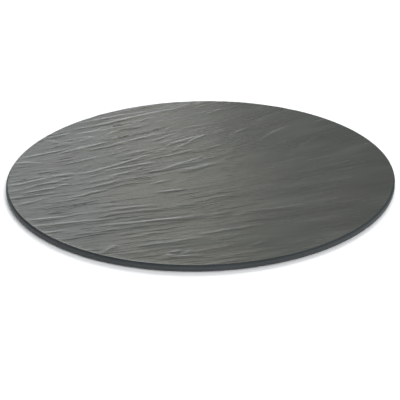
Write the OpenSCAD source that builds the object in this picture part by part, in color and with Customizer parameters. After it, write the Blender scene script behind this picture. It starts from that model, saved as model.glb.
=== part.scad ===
// Round display tray, moulded with a riven slate face and standing on low elastomer feet.
// Millimetres, +Z up, origin on the standing surface below the centre of the tray.
// +X points to the right and +Y to the back.

/* [Tray] */
// Outer diameter of the tray
tray_diameter = 430; // [360:5:480]
// Thickness of the slab, from its underside to the ledge of the rim
slab_thickness = 5.8; // [4.6:0.1:9]
// Radius of the rounded shoulder at the top of the wall
shoulder_radius = 1.5; // [0.5:0.1:2]
// Radius of the rounded lower edge of the wall
lower_edge_radius = 1.2; // [0.4:0.1:2]
// Width of the flat ledge between the shoulder and the riven face
ledge_width = 0.5; // [0.3:0.1:3]

/* [Riven face] */
// Height of the riven face above the ledge, without its relief
face_step = 0.4; // [0.3:0.1:1]
// Rise of the strongest cleft
cleft_rise = 0.7; // [0.2:0.1:1.5]
// Reach of a cleft's gentle back
cleft_back = 7; // [4:0.5:12]
// Reach of a cleft's steep front
cleft_front = 3; // [2:0.5:6]
// Height of the broad swells of the face
swell_height = 0.1; // [0:0.05:0.2]
// Length of one broad swell
swell_length = 130; // [60:10:240]
// Angle of the grain at the front edge
grain_front_angle = 10; // [0:1:20]
// Angle of the grain at the back edge
grain_back_angle = 30; // [20:1:40]

/* [Feet] */
// Number of feet
foot_count = 6; // [4:1:8]
// Distance from the edge of the tray to the middle of a foot
foot_inset = 45; // [20:1:90]
// Diameter of a foot
foot_diameter = 16; // [10:0.5:24]
// Height of a foot
foot_height = 1.8; // [1.4:0.1:4]
// Rounding of a foot's lower edge
foot_lower_radius = 0.6; // [0.2:0.1:0.7]
// Rounding of a foot's upper edge
foot_upper_radius = 0.2; // [0.1:0.05:0.4]
// Thickness of the adhesive disc above a foot
adhesive_thickness = 0.2; // [0.1:0.05:0.4]
// Margin of the foot that the adhesive disc leaves bare
adhesive_margin = 0.5; // [0.4:0.1:2]
// Depth of the moulded seat that takes a foot
seat_depth = 0.6; // [0.3:0.1:1.2]
// Clearance between a foot and the wall of its seat
seat_clearance = 0.3; // [0.1:0.1:1]

/* [Hidden] */
// Heights, from the standing surface up
adhesive_z = foot_height;
seat_roof_z = adhesive_z + adhesive_thickness;
underside_z = seat_roof_z - seat_depth;
ledge_z = underside_z + slab_thickness;
face_z = ledge_z + face_step;
// Depth by which the riven face is rooted in the slab
face_root = 0.5;
face_root_z = ledge_z - face_root;

// Radii
tray_radius = tray_diameter / 2;
face_radius = tray_radius - shoulder_radius - ledge_width;
foot_radius = foot_diameter / 2;
foot_circle_radius = tray_radius - foot_inset;
seat_radius = foot_radius + seat_clearance;
adhesive_radius = foot_radius - adhesive_margin;

// The feet stand evenly round their circle, the first one at the right of the front
foot_pitch = 360 / foot_count;
first_foot_angle = -60;
foot_numbers = [1 : foot_count];

// Rows of the riven face run along the grain, and columns run across it
rows = 118;
columns = 27;
// Share of the neighbouring row's arc that the first and the last row keep
end_row_share = 0.5;
// Power that rounds a cleft's ends: lower is blunter
end_taper = 0.5;
// Radius of the face on which the clefts were laid out
layout_radius = 213;
layout_scale = face_radius / layout_radius;

// Clefts: start x and y, end x and y, bow to the left of that run, share of cleft_rise
CLEFTS = [
    // Back, left
    [-150, 131, -27, 194, 0, 0.6],
    [-152, 118, -72, 149, -3, 0.6],
    [-183, 103, -150, 93, -4, 0.5],
    [-166, 59, -101, 98, 0, 0.9],
    [-205, 51, -155, 73, 0, 0.7],
    [-105, 84, -40, 119, 0, 0.9],
    [-145, 0, -40, 71, -5, 1],
    [-100, 50, -45, 77, 0, 0.6],
    [-42, 77, -8, 102, 0, 0.6],
    [-30, 68, 32, 120, 6, 1],
    [-209, 38, -177, 36, 0, 0.7],
    [-212, -22, -140, 10, 0, 0.7],
    [-115, 10, -50, 34, 0, 0.6],
    [-110, -5, -64, 24, -4, 0.7],
    [-45, 12, 2, 45, 0, 0.5],
    [-35, 4, 35, 35, 0, 0.6],
    // Back, right
    [35, 34, 95, 60, 0, 0.3],
    [68, 91, 110, 136, 0, 0.5],
    [62, 142, 99, 175, 0, 0.35],
    [-6, 172, 48, 195, 0, 0.3],
    // Front, left
    [-210, -37, -142, -3, 0, 0.7],
    [-196, -43, -145, -20, 0, 1],
    [-199, -72, -160, -50, 0, 0.5],
    [-130, -35, -75, -5, 0, 0.8],
    [-150, -66, -108, -35, 0, 0.5],
    [-62, -30, -32, -11, 0, 0.7],
    [-52, -47, -19, -38, 0, 0.7],
    [-135, -95, -35, -76, 2, 0.8],
    [-183, -106, -143, -100, 0, 0.7],
    [-176, -120, -90, -106, 0, 1],
    [-125, -123, 10, -100, -3, 0.9],
    [-145, -146, -85, -129, 0, 0.6],
    [-65, -168, 10, -151, 0, 0.7],
    [-38, -195, 0, -190, 0, 0.6],
    // Front, right
    [-5, -147, 64, -125, 0, 0.7],
    [8, -101, 57, -97, 0, 0.6],
    [40, -96, 113, -80, -2, 0.45],
    [-10, -66, 40, -55, 0, 0.45],
    [2, -50, 62, -27, 0, 0.35],
    [-10, -183, 30, -171, 0, 0.45],
    [0, -211, 85, -186, 0, 0.4],
    [122, -158, 148, -148, 0, 0.4],
];

// Colours
moulding_colour = "#48494a";
foot_colour = "#1c1c1d";
adhesive_colour = "#b9b7ae";

$fn = 128;

// Point on a circle about the middle of the tray
function on_circle(radius, angle) = radius * [cos(angle), sin(angle)];

// Share of cleft_rise that one cleft has at a point: its back slopes gently on the left of its
// run, and its front drops steeply on the right
function cleft_share(point, cleft) =
    let (
        start = layout_scale * [cleft[0], cleft[1]],
        end = layout_scale * [cleft[2], cleft[3]],
        run = end - start,
        span = norm(run),
        along = run / span,
        reach = point - start,
        travel = reach * along / span
    )
    travel <= 0 || travel >= 1 ? 0 :
    let (
        bow = layout_scale * cleft[4] * 4 * travel * (1 - travel),
        aside = along[0] * reach[1] - along[1] * reach[0] - bow,
        fall = aside > 0 ? cleft_back : cleft_front
    )
    cleft[5] * pow(sin(180 * travel), end_taper) * exp(-pow(aside / fall, 2));

// Height of the broad swells at a point
function swell(point) =
    swell_height * sin(360 * point[0] / swell_length) * sin(360 * point[1] / swell_length);

// Height of the riven face at a point, where the highest cleft shows
function face_height(point) =
    face_z + swell(point) + cleft_rise * max([for (cleft = CLEFTS) cleft_share(point, cleft)]);

// Place of a row across the face, from -1 at the front edge to 1 at the back edge
function row_level(row) = 2 * row / rows - 1;

// Direction in which a row lies from the middle, square to the grain there
function row_facing(row) =
    90 + grain_front_angle + (grain_back_angle - grain_front_angle) * row / rows;

// Half of the arc that the first and the last row cover on the edge
end_row_arc = end_row_share * acos(row_level(rows - 1));

// Point of the first or the last row, which follow the edge
function end_row_point(row, share) =
    let (
        turn = end_row_arc * (1 - 2 * share),
        angle = row == 0 ? 180 - turn : turn
    )
    on_circle(face_radius, row_facing(row) + angle);

// Point of any other row, which runs straight from edge to edge
function chord_point(row, share) =
    let (
        half_arc = acos(row_level(row)),
        left = on_circle(face_radius, row_facing(row) + half_arc),
        right = on_circle(face_radius, row_facing(row) - half_arc)
    )
    left + share * (right - left);

// Point of the riven face in plan
function face_point(row, column) =
    row == 0 || row == rows
        ? end_row_point(row, column / columns)
        : chord_point(row, column / columns);

function lifted(point, z) = [point[0], point[1], z];

// Solid disc that stands on z = 0, with its lower and upper edge rounded
module rounded_disc(radius, height, lower_radius, upper_radius) {
    upper_z = height - upper_radius;
    rotate_extrude() {
        square([radius - max(lower_radius, upper_radius), height]);
        square([radius - lower_radius, upper_z]);
        translate([0, lower_radius])
        square([radius - upper_radius, height - lower_radius]);
        translate([0, lower_radius])
        square([radius, upper_z - lower_radius]);
        translate([radius - lower_radius, lower_radius])
        circle(lower_radius);
        translate([radius - upper_radius, upper_z])
        circle(upper_radius);
    }
}

// Riven face: a grid of points with the relief on top, closed by an upright edge and a flat root
module riven_face() {
    function grid_index(row, column) = row * (columns + 1) + column;

    top = [
        for (row = [0 : rows])
            for (column = [0 : columns])
                let (point = face_point(row, column))
                    lifted(point, face_height(point))
    ];
    edge = concat(
        [for (column = [0 : columns]) grid_index(0, column)],
        [for (row = [1 : rows]) grid_index(row, columns)],
        [for (column = [columns - 1 : -1 : 0]) grid_index(rows, column)],
        [for (row = [rows - 1 : -1 : 1]) grid_index(row, 0)]
    );
    root = [for (index = edge) lifted(top[index], face_root_z)];
    edge_count = len(edge);
    first_root = len(top);
    top_faces = [
        for (row = [0 : rows - 1])
            for (column = [0 : columns - 1])
                let (
                    near_left = grid_index(row, column),
                    near_right = grid_index(row, column + 1),
                    far_left = grid_index(row + 1, column),
                    far_right = grid_index(row + 1, column + 1)
                )
                    each [
                        [near_left, far_left, far_right],
                        [near_left, far_right, near_right],
                    ]
    ];
    edge_faces = [
        for (place = [0 : edge_count - 1])
            let (next = (place + 1) % edge_count)
                [edge[place], edge[next], first_root + next, first_root + place]
    ];
    root_face = [for (place = [0 : edge_count - 1]) first_root + place];
    polyhedron(
        points = concat(top, root),
        faces = concat(top_faces, edge_faces, [root_face])
    );
}

// Moves what is drawn on the axis to the place of a numbered foot
module at_foot(number) {
    place = on_circle(foot_circle_radius, first_foot_angle + foot_pitch * (number - 1));
    translate(lifted(place, 0))
    children();
}

// Moulded slab with its riven face, smooth rim and a seat for each foot
module tray_body() {
    color(moulding_colour)
    difference() {
        union() {
            translate([0, 0, underside_z])
            rounded_disc(tray_radius, slab_thickness, lower_edge_radius, shoulder_radius);
            riven_face();
        }
        for (number = foot_numbers)
            at_foot(number)
            cylinder(h = seat_roof_z, r = seat_radius);
    }
}

// Low elastomer foot
module foot(number) {
    color(foot_colour)
    at_foot(number)
    rounded_disc(foot_radius, foot_height, foot_lower_radius, foot_upper_radius);
}

// Thin disc of adhesive that holds a foot in its seat
module adhesive_disc(number) {
    color(adhesive_colour)
    at_foot(number)
    translate([0, 0, adhesive_z])
    cylinder(h = adhesive_thickness, r = adhesive_radius);
}

tray_body();
for (number = foot_numbers) {
    foot(number);
    adhesive_disc(number);
}
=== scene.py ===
"""Looks of a round display tray: a moulded slab with a riven slate face, on low elastomer feet.

Lengths are in metres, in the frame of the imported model: +Z up, +X to the right, +Y to the back.
"""

import logging
import math
from collections.abc import Mapping, Sequence
from dataclasses import dataclass, field
from enum import Enum
from typing import Any

import bmesh
import bpy
import numpy as np
from mathutils import Matrix, Vector
from mathutils.geometry import delaunay_2d_cdt


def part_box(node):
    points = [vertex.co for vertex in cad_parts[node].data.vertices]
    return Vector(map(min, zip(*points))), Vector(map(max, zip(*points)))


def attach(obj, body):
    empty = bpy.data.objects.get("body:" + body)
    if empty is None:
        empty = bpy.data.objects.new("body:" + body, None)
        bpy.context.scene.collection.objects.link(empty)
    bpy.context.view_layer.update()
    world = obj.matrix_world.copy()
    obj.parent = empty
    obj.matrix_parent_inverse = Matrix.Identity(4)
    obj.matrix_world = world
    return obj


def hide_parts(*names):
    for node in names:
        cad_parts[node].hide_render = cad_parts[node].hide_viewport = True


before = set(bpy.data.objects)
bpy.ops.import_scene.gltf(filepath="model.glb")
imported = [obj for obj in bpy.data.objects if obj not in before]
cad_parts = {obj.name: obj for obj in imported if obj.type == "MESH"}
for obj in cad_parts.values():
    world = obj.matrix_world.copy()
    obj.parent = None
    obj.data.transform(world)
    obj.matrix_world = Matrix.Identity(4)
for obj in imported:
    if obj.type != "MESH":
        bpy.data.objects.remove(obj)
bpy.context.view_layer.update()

LOG = logging.getLogger("display_tray")
BODY = "root"
MM = 0.001
# Tints of the lamps
WARM = (1.0, 0.98, 0.90)
WARMER = (1.0, 0.965, 0.83)
COOL = (0.955, 0.98, 1.0)
# The sRGB curve, from display shares to linear ones
TONE_STEPS = 255
CURVE_KNEE = 0.04045
CURVE_SLOPE = 12.92
CURVE_OFFSET = 0.055
CURVE_POWER = 2.4
# Sockets of a Mix node for colours, which share their names with its other kinds
MIX_FACTOR, MIX_FIRST, MIX_SECOND = 0, 6, 7
NOISE_MEAN = 0.5
# Factor that lifts the parabola t (1 - t) to 1 at its middle
PARABOLA_GAIN = 4.0
PLAN_TOLERANCE = 1e-9


class Fitting(Enum):
    """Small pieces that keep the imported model's shape, by the start of their names."""

    FOOT = "foot_"
    ADHESIVE_DISC = "adhesive_disc_"


class Zone(Enum):
    """Parts of the moulding that have a finish of their own, in the order of its material slots."""

    FACE = 0
    RIM = 1
    UNDERSIDE = 2


class Channel(Enum):
    """Attributes that the moulding's mesh carries for its finishes."""

    GRAIN = "grain"
    RELIEF = "relief"


def tone(red: int, green: int, blue: int) -> tuple[float, float, float, float]:
    """Turns a display colour into a linear one.

    Args:
        red: Red, from 0 to 255.
        green: Green, from 0 to 255.
        blue: Blue, from 0 to 255.

    Returns:
        The linear colour with full alpha.
    """
    shares = (np.array((red, green, blue)) / TONE_STEPS).tolist()
    red_share, green_share, blue_share = (
        share / CURVE_SLOPE
        if share <= CURVE_KNEE
        else ((share + CURVE_OFFSET) / (1 + CURVE_OFFSET)) ** CURVE_POWER
        for share in shares
    )
    return (red_share, green_share, blue_share, 1.0)


class Wire:
    """One output socket of a node, with the operators that the trees use."""

    def __init__(self, graph: "Graph", socket: bpy.types.NodeSocket | None) -> None:
        """Keeps the graph and the socket."""
        self.graph = graph
        self.socket = socket

    def output(self, name: str) -> "Wire":
        """Returns another output of the same node."""
        return Wire(self.graph, self.socket.node.outputs[name])

    def math(self, operation: str, *others: "Wire | float") -> "Wire":
        """Returns the result of a Math node that starts with this value."""
        return self.graph.node(
            "ShaderNodeMath", {"operation": operation}, dict(enumerate((self, *others)))
        )

    def vector(self, operation: str, *others: "Wire | Sequence[float]") -> "Wire":
        """Returns the result of a Vector Math node that starts with this vector."""
        return self.graph.node(
            "ShaderNodeVectorMath", {"operation": operation}, dict(enumerate((self, *others)))
        )

    def length(self) -> "Wire":
        """Returns the length of this vector."""
        return self.vector("LENGTH").output("Value")

    def dot(self, other: "Wire | Sequence[float]") -> "Wire":
        """Returns the dot product with another vector."""
        return self.vector("DOT_PRODUCT", other).output("Value")

    def parts(self) -> tuple["Wire", "Wire", "Wire"]:
        """Returns the three parts of this vector."""
        first = self.graph.node("ShaderNodeSeparateXYZ", None, {"Vector": self})
        return first, first.output("Y"), first.output("Z")

    def counted(self, length: float, width: float) -> "Wire":
        """Returns this place counted in lengths along and in widths across, without its height."""
        return self.vector("MULTIPLY", (1 / length, 1 / width, 0))

    def scaled(self, factor: "Wire | float") -> "Wire":
        """Returns this vector times a number."""
        return self.graph.node(
            "ShaderNodeVectorMath", {"operation": "SCALE"}, {"Vector": self, "Scale": factor}
        )

    def __add__(self, other: "Wire | float") -> "Wire":
        """Adds a value."""
        return self.math("ADD", other)

    __radd__ = __add__

    def __sub__(self, other: "Wire | float") -> "Wire":
        """Takes a value away."""
        return self.math("SUBTRACT", other)

    def __rsub__(self, other: float) -> "Wire":
        """Takes this value away from a number."""
        return self.math("MULTIPLY_ADD", -1.0, other)

    def __mul__(self, other: "Wire | float") -> "Wire":
        """Multiplies by a value."""
        return self.math("MULTIPLY", other)

    __rmul__ = __mul__

    def __truediv__(self, other: "Wire | float") -> "Wire":
        """Divides by a value."""
        return self.math("DIVIDE", other)

    def __pow__(self, power: "Wire | float") -> "Wire":
        """Raises to a power."""
        return self.math("POWER", power)

    def __abs__(self) -> "Wire":
        """Returns the absolute value."""
        return self.math("ABSOLUTE")


class Graph:
    """Adds nodes to one node tree."""

    def __init__(self, tree: bpy.types.NodeTree) -> None:
        """Keeps the tree."""
        self.tree = tree

    def fill(self, made: bpy.types.Node, sockets: Mapping[str | int, Any]) -> None:
        """Sets or links a node's input sockets.

        Args:
            made: The node.
            sockets: A value or a wire for each socket's name or number.
        """
        for key, value in sockets.items():
            if isinstance(value, Wire):
                self.tree.links.new(value.socket, made.inputs[key])
            else:
                made.inputs[key].default_value = value

    def node(
        self,
        kind: str,
        settings: Mapping[str, Any] | None = None,
        sockets: Mapping[str | int, Any] | None = None,
    ) -> Wire:
        """Adds a node, sets it up, then sets or links its sockets.

        Args:
            kind: The node's type.
            settings: The node's own properties, where stops are those of its colour ramp.
            sockets: A value or a wire for each socket's name or number.

        Returns:
            The node's first output.
        """
        made = self.tree.nodes.new(kind)
        for name, value in (settings or {}).items():
            if name == "stops":
                self._set_stops(made.color_ramp, value)
            else:
                setattr(made, name, value)
        self.fill(made, sockets or {})
        return Wire(self, next((s for s in made.outputs if s.enabled), None))

    @staticmethod
    def _set_stops(ramp: bpy.types.ColorRamp, stops: Sequence[tuple[float, Any]]) -> None:
        """Gives a colour ramp its stops.

        Args:
            ramp: The colour ramp.
            stops: The place and the colour of each stop, two or more.
        """
        while len(ramp.elements) < len(stops):
            ramp.elements.new(1.0)
        for element, (place, colour) in zip(ramp.elements, stops):
            element.position = place
            element.color = colour

    def vector_of(self, x: Wire | float, y: Wire | float, z: Wire | float) -> Wire:
        """Returns a vector of three values."""
        return self.node("ShaderNodeCombineXYZ", None, {"X": x, "Y": y, "Z": z})

    def noise(
        self, place: Wire, scale: float | Wire, detail: float, roughness: float = 0.5
    ) -> Wire:
        """Returns the noise at a place, from 0 to 1, where detail is the number of finer layers."""
        sockets = {"Vector": place, "Scale": scale, "Detail": detail, "Roughness": roughness}
        return self.node("ShaderNodeTexNoise", {"noise_dimensions": "3D"}, sockets)

    def stray(self, place: Wire, size: float, detail: float, roughness: float = 0.5) -> Wire:
        """Returns a vector that strays about zero from place to place."""
        colour = self.noise(place, 1 / size, detail, roughness).output("Color")
        return colour.vector("SUBTRACT", (NOISE_MEAN,) * 3)

    def ease(self, value: Wire, low: float, high: float) -> Wire:
        """Returns a smooth step from 0 at low to 1 at high."""
        return self.node(
            "ShaderNodeMapRange",
            {"interpolation_type": "SMOOTHSTEP"},
            {"Value": value, "From Min": low, "From Max": high},
        )

    def blend(self, factor: Wire, first: Any, second: Any) -> Wire:
        """Returns a mix of two colours, where the factor is the share of the second."""
        sockets = {MIX_FACTOR: factor, MIX_FIRST: first, MIX_SECOND: second}
        return self.node("ShaderNodeMix", {"data_type": "RGBA"}, sockets)


class ShaderGraph(Graph):
    """The node tree of a new material."""

    def __init__(self, name: str) -> None:
        """Makes the material, with an empty tree."""
        self.material = bpy.data.materials.new(name)
        self.material.use_nodes = True
        super().__init__(self.material.node_tree)
        self.tree.nodes.clear()

    def satin(self, colour: Wire, roughness: Wire, normal: Wire) -> bpy.types.Material:
        """Gives the material a principled surface and returns the finished material."""
        sockets = {"Base Color": colour, "Roughness": roughness, "Normal": normal}
        return self.surface(self.node("ShaderNodeBsdfPrincipled", None, sockets))

    def surface(self, shader: Wire) -> bpy.types.Material:
        """Puts a shader on the material's surface and returns the finished material."""
        self.node("ShaderNodeOutputMaterial", None, {"Surface": shader})
        return self.material

    def place(self) -> Wire:
        """Returns the point in the object's own coordinates."""
        return self.node("ShaderNodeTexCoord").output("Object")

    def channel(self, channel: Channel) -> Wire:
        """Returns an attribute of the mesh as a vector."""
        named = self.node("ShaderNodeAttribute", {"attribute_name": channel.value})
        return named.output("Vector")

    def bump(self, height: Wire, depth: float, strength: float) -> Wire:
        """Returns a normal that a height tilts, with the real depth and the share that is kept."""
        return self.node(
            "ShaderNodeBump", None, {"Height": height, "Distance": depth, "Strength": strength}
        )


class GeometryGraph(Graph):
    """A new geometry node tree with named inputs."""

    def __init__(self, name: str) -> None:
        """Makes the tree with its geometry input and output."""
        super().__init__(bpy.data.node_groups.new(name, "GeometryNodeTree"))
        self.tree.is_modifier = True
        self._ask("Geometry", "NodeSocketGeometry")
        self.tree.interface.new_socket(
            name="Geometry", in_out="OUTPUT", socket_type="NodeSocketGeometry"
        )
        self.values: dict[str, Any] = {}

    def _ask(self, name: str, kind: str) -> str:
        """Adds a named input and returns its identifier."""
        socket = self.tree.interface.new_socket(name=name, in_out="INPUT", socket_type=kind)
        return socket.identifier

    def inputs(self, sizes: Mapping[str, Any]) -> dict[str, Wire]:
        """Adds the tree's named inputs.

        Args:
            sizes: The value of each input: a number, an object or a material.

        Returns:
            A wire for each name, and one for the geometry.
        """
        for name, value in sizes.items():
            kind = {
                bpy.types.Object: "NodeSocketObject",
                bpy.types.Material: "NodeSocketMaterial",
            }.get(type(value), "NodeSocketFloat")
            self.values[self._ask(name, kind)] = value
        inlet = self.tree.nodes.new("NodeGroupInput")
        return {name: Wire(self, inlet.outputs[name]) for name in ("Geometry", *sizes)}

    def named(self, name: str, data_type: str) -> Wire:
        """Returns a named attribute of the geometry."""
        return self.node("GeometryNodeInputNamedAttribute", {"data_type": data_type}, {"Name": name})

    def stored(self, geometry: Wire, name: str, value: Wire | float) -> Wire:
        """Returns the geometry with the value at each point kept in a named attribute."""
        return self.node(
            "GeometryNodeStoreNamedAttribute",
            {"data_type": "FLOAT", "domain": "POINT"},
            {"Geometry": geometry, "Name": name, "Value": value},
        )

    def sampled(self, source: Wire, value: Wire, index: Wire) -> Wire:
        """Returns a vector that is read from one point of another geometry."""
        return self.node(
            "GeometryNodeSampleIndex",
            {"data_type": "FLOAT_VECTOR", "domain": "POINT"},
            {"Geometry": source, "Value": value, "Index": index},
        )

    def repeated(self, count: Wire, geometry: Wire) -> tuple[Wire, Wire, bpy.types.Node]:
        """Opens a zone that repeats.

        Args:
            count: How often it repeats.
            geometry: The geometry that goes in first.

        Returns:
            The geometry and the turn's number inside the zone, and the node that closes it.
        """
        opening = self.tree.nodes.new("GeometryNodeRepeatInput")
        closing = self.tree.nodes.new("GeometryNodeRepeatOutput")
        opening.pair_with_output(closing)
        self.fill(opening, {"Iterations": count, "Geometry": geometry})
        inside = Wire(self, opening.outputs["Geometry"])
        return inside, Wire(self, opening.outputs["Iteration"]), closing

    def bake(self, target: bpy.types.Object) -> bpy.types.Mesh:
        """Runs the tree on an object and returns the result as a plain mesh.

        Args:
            target: The object, whose modifier is taken off again.

        Returns:
            The new mesh.
        """
        modifier = target.modifiers.new(self.tree.name, "NODES")
        modifier.node_group = self.tree
        for identifier, value in self.values.items():
            modifier[identifier] = value
        depsgraph = bpy.context.evaluated_depsgraph_get()
        depsgraph.update()
        mesh = bpy.data.meshes.new_from_object(
            target.evaluated_get(depsgraph), preserve_all_data_layers=True, depsgraph=depsgraph
        )
        target.modifiers.remove(modifier)
        return mesh


def add_object(name: str, data: bpy.types.ID) -> bpy.types.Object:
    """Puts a mesh, a light or a camera into the scene as an object at the origin.

    Args:
        name: The object's name.
        data: The mesh, the light or the camera.

    Returns:
        The new object.
    """
    made = bpy.data.objects.new(name, data)
    bpy.context.scene.collection.objects.link(made)
    return made


def add_channel(mesh: bpy.types.Mesh, name: str, values: np.ndarray) -> None:
    """Keeps a number or a vector for each point of a mesh.

    Args:
        mesh: The mesh.
        name: The attribute's name.
        values: One number or one vector a point.
    """
    vectors = values.ndim > 1
    kept = mesh.attributes.new(name, "FLOAT_VECTOR" if vectors else "FLOAT", "POINT")
    kept.data.foreach_set("vector" if vectors else "value", values.astype(np.float32).ravel())


@dataclass(frozen=True)
class RivenFinish:
    """Satin melamine of the riven face: charcoal, cloudy, streaked along the grain, with painted
    highlight where its relief rises.
    """

    shade: tuple[int, int, int] = (56, 58, 54)
    body: tuple[int, int, int] = (67, 69, 64)
    # Lightest tone: random streaks reach it, and raised relief is lifted towards it as painted
    # highlight.
    crest: tuple[int, int, int] = (84, 86, 81)
    warm: tuple[int, int, int] = (74, 71, 65)
    warm_share: float = 0.35
    cloud_size: float = 90 * MM
    streak_length: float = 70 * MM
    streak_width: float = 3.5 * MM
    band_length: float = 130 * MM
    band_width: float = 24 * MM
    pit_size: float = 0.9 * MM
    pit_depth: float = 0.05 * MM
    roughness: float = 0.26
    roughness_swing: float = 0.10
    mottle_level: float = 0.45
    streak_weight: float = 0.7
    painted_relief_light: float = 0.5
    shade_at: float = 0.15
    body_at: float = 0.5
    crest_at: float = 0.95
    warm_from: float = 0.4
    warm_to: float = 0.75
    pit_weight: float = 0.5
    hairline_scale: float = 2.5
    bump_share: float = 0.6

    def build(self) -> bpy.types.Material:
        """Returns the face's material."""
        graph = ShaderGraph("riven_melamine")
        place = graph.place()
        grain = graph.channel(Channel.GRAIN)
        relief, _, _ = graph.channel(Channel.RELIEF).parts()
        cloud = graph.noise(place, 1 / self.cloud_size, detail=3) - NOISE_MEAN
        stretched = grain.counted(self.streak_length, self.streak_width)
        streak = graph.noise(stretched, 1, detail=4, roughness=0.6) - NOISE_MEAN
        banded = grain.counted(self.band_length, self.band_width)
        band = graph.noise(banded, 1, detail=2) - NOISE_MEAN
        # The relief term is painted light: it lightens the colour where clefts and streaks rise, as
        # painted highlight, and darkens it a little where streaks dip, as painted shade.
        mottle_and_relief_light = self.mottle_level + band + streak * self.streak_weight + relief * self.painted_relief_light
        stops = [
            (self.shade_at, tone(*self.shade)),
            (self.body_at, tone(*self.body)),
            (self.crest_at, tone(*self.crest)),
        ]
        grey = graph.node("ShaderNodeValToRGB", {"stops": stops}, {"Fac": mottle_and_relief_light})
        shifted = place.vector("ADD", (self.cloud_size, 0, 0))
        drift = graph.noise(shifted, 1 / self.cloud_size, detail=2)
        warmth = graph.ease(drift, self.warm_from, self.warm_to) * self.warm_share
        colour = graph.blend(warmth, grey, tone(*self.warm))
        roughness = self.roughness + (streak + cloud) * self.roughness_swing
        pits = graph.noise(place, 1 / self.pit_size, detail=2)
        hairlines = graph.noise(stretched, self.hairline_scale, detail=3, roughness=0.6)
        height = pits * self.pit_weight + hairlines
        return graph.satin(colour, roughness, graph.bump(height, self.pit_depth, self.bump_share))


@dataclass(frozen=True)
class SmoothFinish:
    """Smooth melamine of the rim or the underside: fine orange peel with faint clouds."""

    name: str
    dark: tuple[int, int, int]
    light: tuple[int, int, int]
    roughness: float
    peel_size: float
    peel_depth: float
    cloud_size: float = 60 * MM
    cloud_from: float = 0.3
    cloud_to: float = 0.7
    roughness_swing: float = 0.14
    bump_share: float = 0.5

    def build(self) -> bpy.types.Material:
        """Returns the material."""
        graph = ShaderGraph(self.name)
        place = graph.place()
        cloud = graph.noise(place, 1 / self.cloud_size, detail=4)
        peel = graph.noise(place, 1 / self.peel_size, detail=2)
        shade = graph.ease(cloud, self.cloud_from, self.cloud_to)
        colour = graph.blend(shade, tone(*self.dark), tone(*self.light))
        roughness = self.roughness + (cloud - NOISE_MEAN) * self.roughness_swing
        return graph.satin(colour, roughness, graph.bump(peel, self.peel_depth, self.bump_share))


RIM_FINISH = SmoothFinish(
    name="smooth_rim_melamine",
    dark=(48, 52, 53),
    light=(55, 59, 60),
    roughness=0.55,
    peel_size=1.2 * MM,
    peel_depth=0.02 * MM,
)
UNDERSIDE_FINISH = SmoothFinish(
    name="underside_melamine",
    dark=(52, 53, 53),
    light=(60, 61, 61),
    roughness=0.6,
    peel_size=0.8 * MM,
    peel_depth=0.06 * MM,
)
FOOT_FINISH = SmoothFinish(
    name="foot_elastomer",
    dark=(25, 25, 26),
    light=(33, 33, 34),
    roughness=0.78,
    peel_size=0.35 * MM,
    peel_depth=0.05 * MM,
    cloud_size=7 * MM,
)
ADHESIVE_FINISH = SmoothFinish(
    name="adhesive_film",
    dark=(176, 174, 165),
    light=(192, 190, 182),
    roughness=0.35,
    peel_size=0.6 * MM,
    peel_depth=0.01 * MM,
    cloud_size=5 * MM,
)


@dataclass(frozen=True)
class Cleft:
    """One cleft of the riven face, in millimetres of its layout: a gentle back and a steep front."""

    start: tuple[float, float]
    end: tuple[float, float]
    rise: float
    bow: float = 0.0


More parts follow.
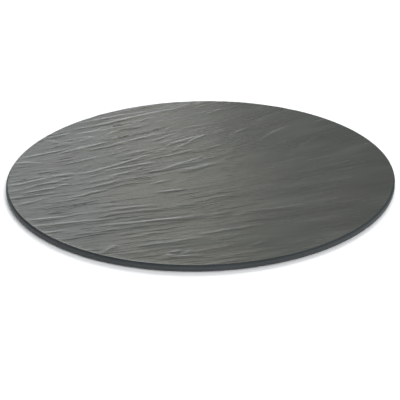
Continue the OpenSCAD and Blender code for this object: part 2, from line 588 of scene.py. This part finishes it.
CLEFTS: tuple[Cleft, ...] = (
    # Back, left
    Cleft((-149, 128), (-26, 191), 0.8),
    Cleft((-24, 196), (9, 208), 0.5),
    Cleft((-147, 146), (-67, 182), 0.55),
    Cleft((-151, 115), (-71, 146), 0.8, -3),
    Cleft((-182, 100), (-149, 90), 0.7, -4),
    Cleft((-175, 105), (-151, 117), 0.65),
    Cleft((-137, 102), (-124, 108), 0.65),
    Cleft((-124, 98), (-96, 105), 0.5),
    Cleft((-165, 56), (-100, 95), 1.0),
    Cleft((-214, 44), (-154, 70), 0.95),
    Cleft((-104, 81), (-39, 116), 1.0),
    Cleft((-39, 115), (-38, 131), 0.5),
    Cleft((-144, -3), (-39, 68), 1.0, -5),
    Cleft((-99, 47), (-44, 74), 0.8),
    Cleft((-41, 74), (-7, 99), 0.8),
    Cleft((-49, 82), (-31, 91), 0.6),
    Cleft((-29, 65), (33, 117), 1.0, 6),
    Cleft((-218, 36), (-176, 33), 0.9),
    Cleft((-149, 30), (-119, 46), 0.6),
    Cleft((-141, 15), (-121, 27), 0.55),
    Cleft((-222, -30), (-139, 7), 1.0),
    Cleft((-114, 7), (-49, 31), 0.75),
    Cleft((-109, -8), (-63, 21), 0.85, -4),
    Cleft((-61, 15), (-49, 22), 0.6),
    Cleft((-44, 9), (3, 42), 0.7),
    Cleft((-34, 1), (36, 32), 0.7),
    # Back, right
    Cleft((36, 31), (96, 57), 0.3),
    Cleft((69, 88), (111, 133), 0.8),
    Cleft((63, 139), (100, 172), 0.6),
    Cleft((-5, 169), (49, 192), 0.3),
    Cleft((1, 78), (31, 95), 0.4),
    Cleft((26, 51), (43, 67), 0.25),
    Cleft((37, 103), (61, 127), 0.5),
    Cleft((79, 33), (94, 57), 0.2),
    Cleft((113, 61), (141, 97), 0.4),
    # Front, left
    Cleft((-220, -45), (-141, -6), 0.9),
    Cleft((-195, -46), (-144, -23), 1.0),
    Cleft((-214, -60), (-156, -44), 0.85),
    Cleft((-208, -81), (-159, -53), 0.7),
    Cleft((-129, -38), (-74, -8), 0.8),
    Cleft((-124, -23), (-84, -1), 0.6),
    Cleft((-149, -69), (-107, -38), 0.5),
    Cleft((-61, -33), (-31, -14), 0.7),
    Cleft((-51, -50), (-18, -41), 0.7),
    Cleft((-117, -82), (-91, -76), 0.6),
    Cleft((-134, -98), (-34, -79), 0.7, 2),
    Cleft((-99, -100), (-24, -84), 0.6),
    Cleft((-27, -83), (-4, -75), 0.5),
    Cleft((-197, -112), (-142, -103), 0.9),
    Cleft((-190, -126), (-89, -109), 1.0),
    Cleft((-182, -144), (-135, -132), 0.8),
    Cleft((-124, -126), (11, -103), 0.75, -3),
    Cleft((-144, -149), (-84, -132), 0.6),
    Cleft((-77, -152), (-34, -142), 0.35),
    Cleft((-64, -171), (11, -154), 0.6),
    Cleft((-100, -186), (-86, -169), 1.0),
    Cleft((-97, -190), (-54, -184), 0.35),
    Cleft((-37, -198), (1, -193), 0.9),
    Cleft((-33, -187), (-21, -182), 0.8),
    Cleft((-36, -191), (-25, -197), 0.7),
    Cleft((-19, -189), (-6, -183), 0.6),
    # Front, right
    Cleft((-4, -150), (65, -128), 0.7),
    Cleft((9, -104), (31, -97), 0.6),
    Cleft((34, -107), (58, -100), 0.5),
    Cleft((41, -99), (114, -83), 0.7, -2),
    Cleft((59, -86), (85, -79), 0.3),
    Cleft((-9, -69), (41, -58), 0.45),
    Cleft((3, -53), (63, -30), 0.35),
    Cleft((71, -25), (98, -13), 0.25),
    Cleft((119, -43), (156, -40), 0.15),
    Cleft((123, -161), (149, -151), 0.4),
    Cleft((-9, -186), (31, -174), 0.45),
    Cleft((1, -214), (46, -201), 0.5),
    Cleft((46, -201), (86, -189), 0.3),
    Cleft((11, -201), (71, -181), 0.35),
    Cleft((46, -177), (67, -164), 0.3),
    Cleft((86, -175), (113, -163), 0.25),
)


@dataclass(frozen=True)
class RivenRelief:
    """Rule that lifts a flat face into riven slate.

    Clefts, fine streaks and swells along the grain, which calm down on the right and on a smooth
    pane at the back, and a raised lip along the left front edge.
    """

    face_z: float
    crown_z: float
    edge_radius: float
    crown_ease: float = 0.2 * MM
    lip_height: float = 0.52 * MM
    lip_width: float = 2.2 * MM
    lip_from: float = -70 * MM
    lip_to: float = -10 * MM
    lip_front: float = -20 * MM
    lip_back: float = 60 * MM
    lip_fade: float = 0.7
    cleft_rise: float = 0.72 * MM
    cleft_back: float = 5.0 * MM
    cleft_front: float = 3.2 * MM
    crest_power: float = 1.3
    end_taper: float = 0.5
    break_length: float = 20 * MM
    break_from: float = 0.15
    break_to: float = 0.50
    break_floor: float = 0.10
    wander: float = 9.0 * MM
    wander_length: float = 26 * MM
    base_rise: float = 0.05 * MM
    streak_height: float = 0.175 * MM
    streak_length: float = 85 * MM
    streak_width: float = 3.6 * MM
    streak_sway: float = 2.0
    line_fall: float = 7.0
    line_power: float = 2.0
    piece_stretch: tuple[float, float, float] = (1.6, 0.5, 1.0)
    piece_from: float = 0.42
    piece_to: float = 0.68
    patch_length: float = 42 * MM
    patch_from: float = 0.36
    patch_to: float = 0.62
    patch_floor: float = 0.5
    patch_gain: float = 0.9
    slant: tuple[float, float, float] = (-0.75, 0.65, 0.0)
    rough_from: float = -80 * MM
    rough_to: float = 120 * MM
    rough_floor: float = 0.66
    rough_gain: float = 0.95
    swell_height: float = 0.5 * MM
    swell_length: float = 140 * MM
    swell_width: float = 24 * MM
    calm_from: float = 20 * MM
    calm_to: float = 120 * MM
    calm_share: float = 0.55
    pane_centre: tuple[float, float, float] = (14 * MM, 160 * MM, 0.0)
    pane_length: float = 62 * MM
    pane_width: float = 42 * MM
    pane_core: float = 0.5
    pane_rim: float = 1.1
    pane_share: float = 0.65
    seed: float = 4.0

    def cleft_points(self) -> bpy.types.Object:
        """Returns an object with a point for each cleft, which carries its end and its shape."""
        mesh = bpy.data.meshes.new("clefts")
        mesh.from_pydata([(MM * c.start[0], MM * c.start[1], 0) for c in CLEFTS], [], [])
        add_channel(mesh, "end", np.array([(MM * c.end[0], MM * c.end[1], 0) for c in CLEFTS]))
        add_channel(mesh, "shape", np.array([(MM * c.bow, c.rise, 0) for c in CLEFTS]))
        return add_object("clefts", mesh)

    def lift(self, face: bpy.types.Object, material: bpy.types.Material) -> bpy.types.Mesh:
        """Lifts a flat face.

        Args:
            face: The flat face, which carries its grain.
            material: The face's material.

        Returns:
            The lifted mesh, which carries its relief.
        """
        clefts = self.cleft_points()
        graph = GeometryGraph("riven_relief")
        wires = graph.inputs(
            {
                "Clefts": clefts,
                "Face Height": self.face_z,
                "Crown Height": self.crown_z,
                "Cleft Rise": self.cleft_rise,
                "Cleft Back": self.cleft_back,
                "Cleft Front": self.cleft_front,
                "Streak Height": self.streak_height,
                "Swell Height": self.swell_height,
                "Edge Radius": self.edge_radius,
                "Lip Height": self.lip_height,
                "Lip Width": self.lip_width,
                "Seed": self.seed,
                "Material": material,
            }
        )
        place = graph.node("GeometryNodeInputPosition")
        geometry = self._cleave(graph, wires, place)
        relief = graph.named(Channel.RELIEF.value, "FLOAT")
        streak = self._streaks(graph, wires, place)
        swell = self._swells(graph)
        rise = relief * wires["Cleft Rise"] + streak * wires["Streak Height"]
        x, y, _ = place.parts()
        inset = place.length() - wires["Edge Radius"]
        across = 1 - graph.ease(x, self.lip_from, self.lip_to) * self.lip_fade
        along = 1 - graph.ease(y, self.lip_front, self.lip_back)
        lip = (inset / wires["Lip Width"]).math("EXPONENT") * wires["Lip Height"] * across * along
        height = wires["Face Height"] + self.base_rise + rise + swell * wires["Swell Height"] + lip
        capped = height.math("SMOOTH_MIN", wires["Crown Height"], self.crown_ease)
        lifted = graph.vector_of(x, y, capped)
        marked = graph.stored(geometry, Channel.RELIEF.value, rise / wires["Cleft Rise"])
        moved = graph.node("GeometryNodeSetPosition", None, {"Geometry": marked, "Position": lifted})
        real = graph.node("GeometryNodeRealizeInstances", None, {"Geometry": moved})
        dressed = graph.node(
            "GeometryNodeSetMaterial", None, {"Geometry": real, "Material": wires["Material"]}
        )
        graph.node("NodeGroupOutput", None, {"Geometry": dressed})
        mesh = graph.bake(face)
        bpy.data.objects.remove(clefts)
        return mesh

    def _cleave(self, graph: GeometryGraph, wires: Mapping[str, Wire], place: Wire) -> Wire:
        """Keeps the share of the cleft rise at each point of the face.

        Args:
            graph: The tree.
            wires: The tree's inputs.
            place: The point of the face.

        Returns:
            The face, with the highest cleft's share in its relief attribute.
        """
        info = graph.node(
            "GeometryNodeObjectInfo", {"transform_space": "ORIGINAL"}, {"Object": wires["Clefts"]}
        )
        source = info.output("Geometry")
        count = graph.node(
            "GeometryNodeAttributeDomainSize", {"component": "MESH"}, {"Geometry": source}
        )
        sway = graph.stray(place, self.wander_length, detail=3, roughness=0.6).scaled(self.wander)
        wandered = place.vector("ADD", sway).vector("MULTIPLY", (1, 1, 0))
        flat = graph.stored(wires["Geometry"], Channel.RELIEF.value, 0.0)
        inside, turn, closing = graph.repeated(count, flat)
        start = graph.sampled(source, place, turn)
        end = graph.sampled(source, graph.named("end", "FLOAT_VECTOR"), turn)
        shape = graph.sampled(source, graph.named("shape", "FLOAT_VECTOR"), turn)
        bow, share, _ = shape.parts()
        run = end.vector("SUBTRACT", start)
        span = run.length()
        heading = run.vector("NORMALIZE")
        reach = wandered.vector("SUBTRACT", start)
        travel = reach.dot(heading) / span
        kept = travel.math("MAXIMUM", 0.0).math("MINIMUM", 1.0)
        _, _, sideways = heading.vector("CROSS_PRODUCT", reach).parts()
        aside = sideways - bow * kept * (1 - kept) * PARABOLA_GAIN
        behind = aside.math("GREATER_THAN", 0.0)
        back = (1 - abs(aside) / wires["Cleft Back"]).math("MAXIMUM", 0.0) ** self.crest_power
        front = (abs(aside) / wires["Cleft Front"] * -1.0).math("EXPONENT")
        profile = front + (back - front) * behind
        ends = (kept * math.pi).math("SINE").math("MAXIMUM", 0.0) ** self.end_taper
        shifted = place.vector("ADD", graph.vector_of(0.0, 0.0, turn))
        gaps = graph.noise(shifted, 1 / self.break_length, detail=2)
        breaks = graph.ease(gaps, self.break_from, self.break_to) + self.break_floor
        here = share * profile * ends * breaks
        highest = graph.named(Channel.RELIEF.value, "FLOAT").math("MAXIMUM", here)
        graph.fill(closing, {"Geometry": graph.stored(inside, Channel.RELIEF.value, highest)})
        return Wire(graph, closing.outputs["Geometry"])

    def _swells(self, graph: GeometryGraph) -> Wire:
        """Returns the height of the broad swells, which lie along the grain, about zero."""
        grain = graph.named(Channel.GRAIN.value, "FLOAT_VECTOR")
        stretched = grain.counted(self.swell_length, self.swell_width)
        return graph.noise(stretched.vector("ADD", (0, 0, self.seed)), 1, detail=1) - NOISE_MEAN

    def _streaks(self, graph: GeometryGraph, wires: Mapping[str, Wire], place: Wire) -> Wire:
        """Returns fine ridges along the grain, calmer on the right of the face and on its pane.

        Args:
            graph: The tree.
            wires: The tree's inputs.
            place: The point of the face.

        Returns:
            The streaks' height, 1 at the crest of the sharpest.
        """
        grain = graph.named(Channel.GRAIN.value, "FLOAT_VECTOR")
        sway = graph.stray(place, self.streak_sway * self.wander_length, detail=2)
        bent = grain.vector("ADD", sway.scaled(self.streak_sway * self.wander))
        stretched = bent.counted(self.streak_length, self.streak_width)
        seeded = stretched.vector("ADD", graph.vector_of(0.0, 0.0, wires["Seed"]))
        waves = graph.noise(seeded, 1, detail=4, roughness=0.6) - NOISE_MEAN
        lines = (1 - abs(waves) * self.line_fall).math("MAXIMUM", 0.0) ** self.line_power
        lengths = stretched.vector("MULTIPLY", self.piece_stretch).vector("ADD", (0, 0, self.seed * 2))
        pieces = graph.ease(graph.noise(lengths, 1, detail=2), self.piece_from, self.piece_to)
        x, _, _ = place.parts()
        calm = 1 - graph.ease(x, self.calm_from, self.calm_to) * self.calm_share
        shifted = place.vector("ADD", (0, 0, self.seed * 3))
        patch = graph.noise(shifted, 1 / self.patch_length, detail=1)
        strong = graph.ease(patch, self.patch_from, self.patch_to) * self.patch_gain + self.patch_floor
        slanted = graph.ease(place.dot(self.slant), self.rough_from, self.rough_to)
        rough = slanted * self.rough_gain + self.rough_floor
        from_pane = place.vector("SUBTRACT", self.pane_centre)
        spread = from_pane.counted(self.pane_length, self.pane_width)
        away = graph.ease(spread.length(), self.pane_core, self.pane_rim)
        smooth = 1 - (1 - away) * self.pane_share
        return (lines * pieces * calm + waves) * calm * strong * rough * smooth


@dataclass
class TrayBody:
    """The moulding: riven face, smooth rim, rounded wall and an underside with a seat for each foot."""

    radius: float
    underside_z: float
    crown_z: float
    seat_roof_z: float
    seat_centres: list[tuple[float, float]]
    slab_thickness: float = 5.8 * MM
    shoulder_radius: float = 1.5 * MM
    lower_edge_radius: float = 1.2 * MM
    ledge_width: float = 0.5 * MM
    face_step: float = 0.4 * MM
    arris_radius: float = 0.20 * MM
    seat_radius: float = 8.3 * MM
    seat_sides: int = 64
    front_grain: float = 10.0
    back_grain: float = 32.0
    grain_curl: float = 0.9
    rows: int = 430
    columns: int = 174
    shoulder_steps: int = 5
    lower_steps: int = 4
    sharp_angle: float = 40.0
    piece: bpy.types.Object | None = field(default=None, init=False)

    @classmethod
    def from_frame(cls) -> "TrayBody":
        """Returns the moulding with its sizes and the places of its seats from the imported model."""
        low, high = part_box("tray_body")
        feet, discs = (
            [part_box(name) for name in sorted(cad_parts) if name.startswith(kind.value)]
            for kind in (Fitting.FOOT, Fitting.ADHESIVE_DISC)
        )
        return cls(
            radius=(high.x - low.x) / 2,
            underside_z=low.z,
            crown_z=high.z,
            seat_roof_z=discs[0][1].z,
            seat_centres=[((a.x + b.x) / 2, (a.y + b.y) / 2) for a, b in feet],
        )

    @property
    def ledge_z(self) -> float:
        """Height of the ledge between the shoulder and the face."""
        return self.underside_z + self.slab_thickness

    @property
    def face_radius(self) -> float:
        """Radius of the riven face."""
        return self.radius - self.shoulder_radius - self.ledge_width

    def build(self) -> bpy.types.Object:
        """Builds and dresses the moulding.

        Returns:
            The finished piece.
        """
        finish = RivenFinish().build()
        flat = self._flat_face()
        relief = RivenRelief(
            face_z=self.ledge_z + self.face_step,
            crown_z=self.crown_z,
            edge_radius=self.face_radius,
        )
        lifted = relief.lift(flat, finish)
        mesh = self._close(lifted)
        bpy.data.objects.remove(flat)
        for material in (finish, RIM_FINISH.build(), UNDERSIDE_FINISH.build()):
            mesh.materials.append(material)
        self.piece = add_object("tray_moulding", mesh)
        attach(self.piece, BODY)
        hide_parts("tray_body")
        return self.piece

    def _flat_face(self) -> bpy.types.Object:
        """Returns the flat face: rows along the grain, whose ends lie on its edge."""
        level = np.linspace(-1, 1, self.rows + 1)
        share = np.linspace(0, 1, self.columns + 1)
        back = (level + 1) / 2
        facing = np.radians(90 + self.front_grain + (self.back_grain - self.front_grain) * back)
        half_arc = np.arccos(level)
        half_chord = self.face_radius * np.sin(half_arc)
        left = self._on_edge(facing + half_arc)
        right = self._on_edge(facing - half_arc)
        points = left[:, None] + share[None, :, None] * (right - left)[:, None]
        sag = self.grain_curl * back * half_chord**2 / 2
        lean = np.stack((np.cos(facing), np.sin(facing)), -1)
        curl = PARABOLA_GAIN * share * (1 - share)
        points -= curl[None, :, None] * (sag[:, None] * lean)[:, None]
        end_arc = half_arc[-2] / 2 * (1 - 2 * share)
        points[0] = self._on_edge(facing[0] + math.pi - end_arc)
        points[-1] = self._on_edge(facing[-1] + end_arc)
        along = (2 * share - 1)[None, :] * half_chord[:, None]
        across = np.broadcast_to(level[:, None] * self.face_radius, along.shape)
        grain = np.stack((along, across, np.zeros_like(along)), -1).reshape(-1, 3)
        heights = np.zeros((*points.shape[:2], 1))
        mesh = bpy.data.meshes.new("flat_face")
        cloud = np.concatenate((points, heights), -1).reshape(-1, 3)
        mesh.from_pydata(cloud.tolist(), [], self._face_quads().tolist())
        add_channel(mesh, Channel.GRAIN.value, grain)
        return add_object("flat_face", mesh)

    def _on_edge(self, angle: np.ndarray) -> np.ndarray:
        """Returns points on the face's edge at some angles."""
        return self.face_radius * np.stack((np.cos(angle), np.sin(angle)), -1)

    def _index(self, row: np.ndarray | int, column: np.ndarray | int) -> np.ndarray:
        """Returns the number of a point of the face."""
        return np.asarray(row * (self.columns + 1) + column)

    def _face_quads(self) -> np.ndarray:
        """Returns the face's quads, which look up."""
        row, column = np.mgrid[0 : self.rows, 0 : self.columns]
        corners = [
            self._index(row, column),
            self._index(row, column + 1),
            self._index(row + 1, column + 1),
            self._index(row + 1, column),
        ]
        return np.stack(corners, -1).reshape(-1, 4)

    def _edge_loop(self) -> np.ndarray:
        """Returns the points on the face's edge in order, anticlockwise from above."""
        rows, columns = np.arange(self.rows + 1), np.arange(self.columns + 1)
        sides = (
            self._index(0, columns[:-1]),
            self._index(rows[:-1], self.columns),
            self._index(self.rows, columns[:0:-1]),
            self._index(rows[:0:-1], 0),
        )
        return np.concatenate(sides)

    def _profile(self, edge_z: np.ndarray) -> list[tuple[float, np.ndarray]]:
        """Returns the rings from the face's edge down to the underside.

        Args:
            edge_z: The height of each point on the face's edge.

        Returns:
            The radius and the heights of each ring.
        """
        level = np.ones_like(edge_z)
        arris, face = self.arris_radius, self.face_radius
        rings = [
            (face + arris, edge_z - arris),
            (face + arris, self.ledge_z * level + arris),
            (face + 2 * arris, self.ledge_z * level),
        ]
        for turn in np.linspace(0, math.pi / 2, self.shoulder_steps + 1):
            reach = self.radius - self.shoulder_radius * (1 - math.sin(turn))
            drop = self.shoulder_radius * (1 - math.cos(turn))
            rings.append((reach, (self.ledge_z - drop) * level))
        for turn in np.linspace(0, math.pi / 2, self.lower_steps + 1):
            reach = self.radius - self.lower_edge_radius * (1 - math.cos(turn))
            lift = self.lower_edge_radius * (1 - math.sin(turn))
            rings.append((reach, (self.underside_z + lift) * level))
        return rings

    def _seat_ring(self, centre: tuple[float, float]) -> np.ndarray:
        """Returns the points round a seat in plan."""
        turn = 2 * math.pi * np.arange(self.seat_sides) / self.seat_sides
        circle = self.seat_radius * np.stack((np.cos(turn), np.sin(turn)), -1)
        return np.array(centre) + circle

    def _close(self, lifted: bpy.types.Mesh) -> bpy.types.Mesh:
        """Closes the lifted face with its rim, wall, underside and seats.

        Args:
            lifted: The lifted face.

        Returns:
            The closed mesh, with its attributes and the zone of each face.
        """
        count = len(lifted.vertices)
        face = np.empty(count * 3, np.float32)
        lifted.vertices.foreach_get("co", face)
        face = face.reshape(-1, 3)
        edge = self._edge_loop()
        angle = np.arctan2(face[edge, 1], face[edge, 0])
        around = np.stack((np.cos(angle), np.sin(angle)), -1)
        points = [face]
        faces: list[list[int]] = self._face_quads().tolist()
        zones = [Zone.FACE.value] * len(faces)
        last = edge
        total = count
        for reach, heights in self._profile(face[edge, 2]):
            points.append(np.column_stack((reach * around, heights)))
            ring = total + np.arange(len(edge))
            faces += self._band(last, ring)
            last, total = ring, total + len(edge)
        zones += [Zone.RIM.value] * (len(faces) - len(zones))
        rims = points[-1][:, :2]
        seats = [self._seat_ring(centre) for centre in self.seat_centres]
        mouths = [total + k * self.seat_sides + np.arange(self.seat_sides) for k in range(len(seats))]
        faces += self._plate(rims, last, seats, mouths)
        total += len(seats) * self.seat_sides
        for height in (self.underside_z, self.seat_roof_z):
            points += [np.column_stack((s, np.full(len(s), height))) for s in seats]
        for mouth in mouths:
            roof = mouth + len(seats) * self.seat_sides
            faces += self._band(roof, mouth)
            faces.append(roof.tolist())
        zones += [Zone.UNDERSIDE.value] * (len(faces) - len(zones))
        return self._mesh(np.concatenate(points), faces, zones, lifted)

    @staticmethod
    def _band(upper: np.ndarray, lower: np.ndarray) -> list[list[int]]:
        """Returns the quads between two rings."""
        corners = (upper, lower, np.roll(lower, -1), np.roll(upper, -1))
        return np.stack(corners, -1).tolist()

    def _plate(
        self,
        outline: np.ndarray,
        outline_index: np.ndarray,
        seats: list[np.ndarray],
        mouths: list[np.ndarray],
    ) -> list[list[int]]:
        """Returns the triangles of the underside, open at the seats.

        Args:
            outline: The underside's outline in plan.
            outline_index: The numbers of its points.
            seats: The seats' outlines in plan.
            mouths: The numbers of their points.

        Returns:
            The triangles.
        """
        plan = np.concatenate((outline, *seats))
        numbers = np.concatenate((outline_index, *mouths))
        edges: list[tuple[int, int]] = []
        start = 0
        for loop in (outline, *seats):
            ring = start + np.arange(len(loop))
            edges += np.stack((ring, np.roll(ring, -1)), -1).tolist()
            start += len(loop)
        corners, _, triangles, sources, _, _ = delaunay_2d_cdt(
            [Vector(point) for point in plan], edges, [], 0, PLAN_TOLERANCE
        )
        origin = [numbers[source[0]] for source in sources]
        centres = np.array(self.seat_centres)
        kept = []
        for triangle in triangles:
            middle = np.mean([corners[corner] for corner in triangle], axis=0)
            if np.linalg.norm(centres - middle, axis=1).min() > self.seat_radius:
                kept.append([int(origin[corner]) for corner in reversed(triangle)])
        return kept

    def _mesh(
        self,
        points: np.ndarray,
        faces: list[list[int]],
        zones: list[int],
        lifted: bpy.types.Mesh,
    ) -> bpy.types.Mesh:
        """Makes the closed mesh.

        Args:
            points: Its points, the lifted face's first.
            faces: Its faces.
            zones: The zone of each face.
            lifted: The lifted face, whose attributes are kept.

        Returns:
            The mesh.
        """
        mesh = bpy.data.meshes.new("tray_moulding")
        mesh.from_pydata(points.tolist(), [], faces)
        mesh.polygons.foreach_set("material_index", np.array(zones, np.int32))
        count = len(lifted.vertices)
        for channel, kind, width in ((Channel.GRAIN, "vector", 3), (Channel.RELIEF, "value", 1)):
            values = np.zeros((len(points), width), np.float32)
            found = np.empty(count * width, np.float32)
            lifted.attributes[channel.value].data.foreach_get(kind, found)
            values[:count] = found.reshape(-1, width)
            add_channel(mesh, channel.value, values if width > 1 else values[:, 0])
        shape = bmesh.new()
        shape.from_mesh(mesh)
        bmesh.ops.recalc_face_normals(shape, faces=shape.faces)
        loose = sum(not edge.is_manifold for edge in shape.edges)
        shape.to_mesh(mesh)
        shape.free()
        mesh.polygons.foreach_set("use_smooth", np.ones(len(mesh.polygons), bool))
        mesh.set_sharp_from_angle(angle=math.radians(self.sharp_angle))
        LOG.info("moulding: %d points, %d faces, %d open edges", len(points), len(faces), loose)
        return mesh


@dataclass
class Fittings:
    """The feet and the adhesive discs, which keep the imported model's shape and get their finishes."""

    kind: Fitting
    finish: SmoothFinish

    def dress(self) -> list[bpy.types.Object]:
        """Gives each of these pieces its finish.

        Returns:
            The dressed pieces.
        """
        material = self.finish.build()
        nodes = sorted(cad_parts.items())
        pieces = [piece for name, piece in nodes if name.startswith(self.kind.value)]
        for piece in pieces:
            piece.data.materials.clear()
            piece.data.materials.append(material)
        return pieces


@dataclass(frozen=True)
class Softbox:
    """A soft rectangular lamp, which the gloss shows unless it only fills shadows."""

    name: str
    place: tuple[float, float, float]
    aim: tuple[float, float, float]
    width: float
    height: float
    power: float
    tint: tuple[float, float, float] = (1.0, 1.0, 1.0)
    in_gloss: bool = True

    def build(self) -> bpy.types.Object:
        """Returns the lamp, hidden from the camera."""
        light = bpy.data.lights.new(self.name, "AREA")
        light.shape = "RECTANGLE"
        light.size, light.size_y = self.width, self.height
        light.energy = self.power
        light.color = self.tint
        lamp = hang(self.name, light, Vector(self.place), Vector(self.aim))
        lamp.visible_glossy = self.in_gloss
        return lamp


@dataclass(frozen=True)
class KeyLight:
    """Even light from afar, soft because it comes from a wide disc."""

    name: str
    azimuth: float
    elevation: float
    spread: float
    strength: float

    def build(self) -> bpy.types.Object:
        """Returns the lamp, hidden from the camera and from gloss."""
        light = bpy.data.lights.new(self.name, "SUN")
        light.energy = self.strength
        light.angle = math.radians(self.spread)
        turn, rise = math.radians(self.azimuth), math.radians(self.elevation)
        level = math.cos(rise)
        place = Vector((level * math.cos(turn), level * math.sin(turn), math.sin(rise)))
        lamp = hang(self.name, light, place, Vector())
        lamp.visible_glossy = False
        return lamp


def hang(name: str, light: bpy.types.Light, place: Vector, aim: Vector) -> bpy.types.Object:
    """Puts a lamp into the scene.

    Args:
        name: The lamp's name.
        light: Its light.
        place: Where it hangs.
        aim: The point that it looks at.

    Returns:
        The lamp.
    """
    lamp = add_object(name, light)
    lamp.location = place
    lamp.rotation_euler = (aim - place).to_track_quat("-Z", "Y").to_euler()
    lamp.visible_camera = False
    return lamp


@dataclass
class Studio:
    """Pale floor, soft light and the camera."""

    floor_half: float = 1.6
    floor_drop: float = 0.05 * MM
    floor_tone: float = 0.85
    floor_seen: float = 1.06
    world_fill: float = 0.20
    world_gloss: float = 0.19
    world_tint: tuple[float, float, float, float] = (0.86, 0.95, 1.03, 1.0)
    eye: tuple[float, float, float] = (-0.00080, -1.40009, 0.65920)
    aim: tuple[float, float, float] = (-0.00085, -0.0527, 0.0)
    roll: float = -1.169
    lens: float = 124.86
    sensor: float = 36.0
    lamps: tuple[Softbox | KeyLight, ...] = (
        Softbox("back_strip", (-0.62, 1.6, 0.24), (-0.62, 0.0, 0.24), 1.26, 0.48, 3.25, COOL),
        Softbox("low_strip", (0.14, 1.6, 0.11), (0.14, 0.0, 0.11), 0.26, 0.22, 0.30),
        Softbox("back_left", (-0.56, 1.6, 0.89), (-0.56, 0.0, 0.89), 0.68, 0.40, 1.64, COOL),
        Softbox("back_middle", (-0.11, 1.6, 0.795), (-0.11, 0.0, 0.795), 0.22, 0.20, 0.37, WARMER),
        Softbox("back_right_near", (0.06, 1.6, 0.82), (0.06, 0.0, 0.82), 0.12, 0.28, 0.145, WARMER),
        Softbox("back_right", (0.22, 1.6, 0.84), (0.22, 0.0, 0.84), 0.20, 0.36, 0.080, WARM),
        Softbox("left_panel", (-1.6, 0.0, 0.33), (0.0, 0.0, 0.33), 1.4, 0.5, 1.5),
        Softbox("right_panel", (1.6, 0.0, 0.33), (0.0, 0.0, 0.33), 1.4, 0.5, 1.5),
        Softbox("front_panel", (0.0, -1.6, 0.33), (0.0, 0.0, 0.33), 1.4, 0.5, 1.1),
        Softbox("front_softbox", (0.80, -1.98, 1.34), (0.0, 0.0, 0.0), 2.0, 2.0, 52.0, in_gloss=False),
        Softbox("left_softbox", (-1.1, -0.25, 1.05), (0.0, 0.0, 0.0), 0.5, 0.5, 1.5, in_gloss=False),
        KeyLight("key_light", 82.0, 36.0, 46.0, 2.9),
    )

    def build(self) -> None:
        """Builds the floor, the light and the camera."""
        scene = bpy.context.scene
        scene.view_settings.view_transform = "Standard"
        self._floor()
        self._world(scene)
        for lamp in self.lamps:
            lamp.build()
            LOG.info("lamp: %s", lamp.name)
        scene.camera = self._camera()

    def _floor(self) -> None:
        """Lays the floor, which the camera sees a little brighter than it is lit."""
        mesh = bpy.data.meshes.new("floor")
        half, low = self.floor_half, -self.floor_drop
        corners = [(-half, -half, low), (half, -half, low), (half, half, low), (-half, half, low)]
        mesh.from_pydata(corners, [], [(0, 1, 2, 3)])
        graph = ShaderGraph("pale_floor")
        camera_ray = graph.node("ShaderNodeLightPath").output("Is Camera Ray")
        lit, seen = (
            graph.node("ShaderNodeBsdfDiffuse", None, {"Color": (white, white, white, 1.0)})
            for white in (self.floor_tone, self.floor_seen)
        )
        shader = graph.node("ShaderNodeMixShader", None, {0: camera_ray, 1: lit, 2: seen})
        mesh.materials.append(graph.surface(shader))
        add_object("floor", mesh)

    def _world(self, scene: bpy.types.Scene) -> None:
        """Surrounds the scene with white: full for the camera, softer as light and in gloss."""
        world = bpy.data.worlds.new("studio_white")
        scene.world = world
        world.use_nodes = True
        graph = Graph(world.node_tree)
        graph.tree.nodes.clear()
        path = graph.node("ShaderNodeLightPath")
        seen = path.output("Is Camera Ray").math("MAXIMUM", path.output("Is Transmission Ray"))
        gloss = path.output("Is Glossy Ray")
        lit = self.world_fill + gloss * (self.world_gloss - self.world_fill)
        strength = lit + seen * (1 - lit)
        color = graph.blend(seen, self.world_tint, (1.0, 1.0, 1.0, 1.0))
        sockets = {"Color": color, "Strength": strength}
        background = graph.node("ShaderNodeBackground", None, sockets)
        graph.node("ShaderNodeOutputWorld", None, {"Surface": background})

    def _camera(self) -> bpy.types.Object:
        """Returns the camera at the photograph's viewing angle."""
        data = bpy.data.cameras.new("camera")
        data.lens, data.sensor_width = self.lens, self.sensor
        camera = add_object("camera", data)
        ahead = (Vector(self.aim) - Vector(self.eye)).normalized()
        level = ahead.cross(Vector((0, 0, 1))).normalized()
        upright = level.cross(ahead)
        turn = math.radians(self.roll)
        right = level * math.cos(turn) + upright * math.sin(turn)
        top = upright * math.cos(turn) - level * math.sin(turn)
        axes = Matrix((right, top, -ahead)).transposed()
        camera.matrix_world = Matrix.Translation(self.eye) @ axes.to_4x4()
        return camera


def main() -> None:
    """Builds the studio and the tray."""
    logging.basicConfig(level=logging.INFO, format="%(name)s: %(message)s")
    Studio().build()
    body = TrayBody.from_frame()
    LOG.info("piece: %s", body.build().name)
    finishes = {Fitting.FOOT: FOOT_FINISH, Fitting.ADHESIVE_DISC: ADHESIVE_FINISH}
    for kind, finish in finishes.items():
        for piece in Fittings(kind, finish).dress():
            LOG.info("piece: %s", piece.name)


if __name__ == "__main__":
    main()
